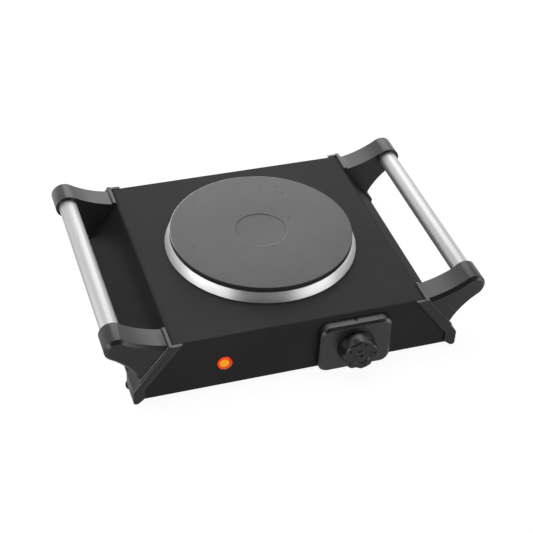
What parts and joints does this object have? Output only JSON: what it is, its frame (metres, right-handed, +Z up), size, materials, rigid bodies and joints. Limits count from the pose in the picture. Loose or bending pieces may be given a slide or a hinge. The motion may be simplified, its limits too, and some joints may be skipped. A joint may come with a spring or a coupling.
{
  "type": "hot plate burner",
  "caption": "Portable hot plate burner: round cast-iron plate on a sloped black steel case, corner brackets with metal tube handles, lobed control knob and amber pilot lamp.",
  "frame": {"origin": "floor level, under the middle of the bounding box", "axes": "+X to the object's right seen from the front, along the greatest width; -Y towards the control knob; +Z up out of the cooking face"},
  "size_m": [0.3796, 0.2826, 0.0836],
  "materials": {
    "case_paint": "satin black enamel, slightly rough",
    "base_paint": "satin black enamel",
    "screw_steel": "zinc plated",
    "shield_aluminium": "mill finish",
    "bracket_plastic": "moulded heat-resistant plastic, fine texture",
    "foot_rubber": "matte",
    "tube_aluminium": "satin, drawn lengthwise",
    "plate_iron": "turned face with fine concentric marks",
    "ring_steel": "polished stainless",
    "coil_steel": "oxidised",
    "fill_magnesia": "pressed powder",
    "bead_ceramic": "unglazed",
    "plain_steel": "plain sheet",
    "control_plastic": "moulded heat-resistant plastic, fine texture",
    "stat_plastic": "moulded",
    "contact_brass": "plain",
    "lens_amber": "clear amber, polished",
    "lamp_plastic": "moulded",
    "bulb_glass": "clear",
    "strip_plastic": "moulded",
    "lead_brown": "sleeved",
    "lead_blue": "sleeved",
    "lead_green": "sleeved"
  },
  "bodies": {
    "base": {"body_shell": "case_paint", "base_plate": "base_paint", "base_screws": "screw_steel", "heat_shield": "shield_aluminium", "bracket_front_left": "bracket_plastic", "bracket_front_right": "bracket_plastic", "bracket_rear_left": "bracket_plastic", "bracket_rear_right": "bracket_plastic", "bracket_screws": "screw_steel", "rubber_feet": "foot_rubber", "handle_tube_left": "tube_aluminium", "handle_tube_right": "tube_aluminium", "hot_plate": "plate_iron", "trim_ring": "ring_steel", "heating_coil": "coil_steel", "magnesia_fill": "fill_magnesia", "plate_cover": "plain_steel", "terminal_beads": "bead_ceramic", "centre_stud": "screw_steel", "clamp_bridge": "plain_steel", "clamp_washer": "screw_steel", "clamp_nut": "screw_steel", "control_bezel": "control_plastic", "bezel_screws": "screw_steel", "thermostat_body": "stat_plastic", "thermostat_nut": "contact_brass", "thermostat_tabs": "contact_brass", "lamp_lens": "lens_amber", "lamp_holder": "lamp_plastic", "neon_bulb": "bulb_glass", "lamp_clip": "screw_steel", "cord_gland": "lamp_plastic", "terminal_strip": "strip_plastic", "strip_screws": "screw_steel", "earth_tab": "contact_brass", "live_lead": "lead_brown", "neutral_lead": "lead_blue", "switched_lead": "lead_brown", "lamp_live_lead": "lead_brown", "lamp_neutral_lead": "lead_blue", "earth_lead": "lead_green"},
    "control": {"knob": "control_plastic", "thermostat_spindle": "contact_brass"}
  },
  "joints": [
    {"name": "knob_turn", "type": "hinge", "parent": "base", "child": "control", "pos_m": [0.054, -0.1277, 0.0315], "axis": [0, 1, 0], "range_deg": [0, 270]}
  ]
}
